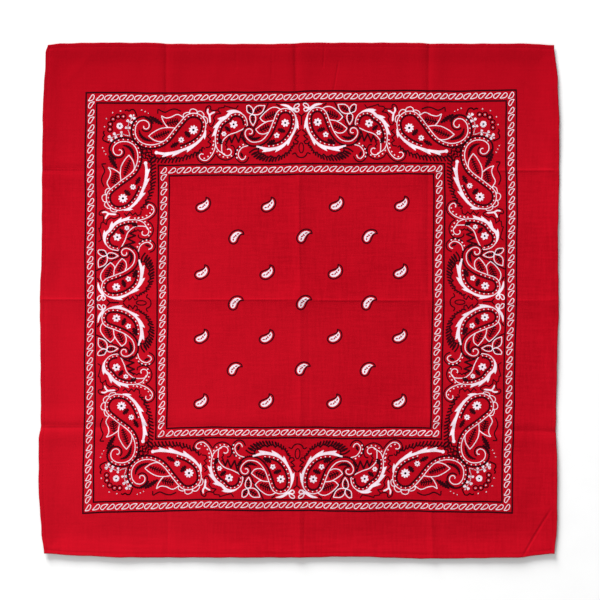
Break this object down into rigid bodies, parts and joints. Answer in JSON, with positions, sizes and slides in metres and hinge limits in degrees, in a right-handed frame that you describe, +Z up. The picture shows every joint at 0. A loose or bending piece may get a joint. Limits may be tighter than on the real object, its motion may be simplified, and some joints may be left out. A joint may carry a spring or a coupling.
{
  "type": "bandana",
  "caption": "Square cotton bandana laid flat, with low packing creases, slightly lifted edges and narrow turned hems on all sides.",
  "frame": {"origin": "on the surface the cloth lies on, under the middle of its outline", "axes": "+Z up out of the printed face, +Y towards the top edge of the print, +X towards its right edge"},
  "size_m": [0.5502, 0.5452, 0.0059],
  "materials": {
    "panel_cotton": "plain-woven red cotton, matt",
    "hem_cotton": "the same red cotton, turned under and stitched",
    "print_white": "white printed on the cotton, matt",
    "print_black": "black printed on the red cotton, matt",
    "sewing_thread": "red cotton thread"
  },
  "bodies": {
    "root": {"panel": "panel_cotton", "hem_top": "hem_cotton", "hem_bottom": "hem_cotton", "hem_left": "hem_cotton", "hem_right": "hem_cotton"}
  },
  "joints": []
}
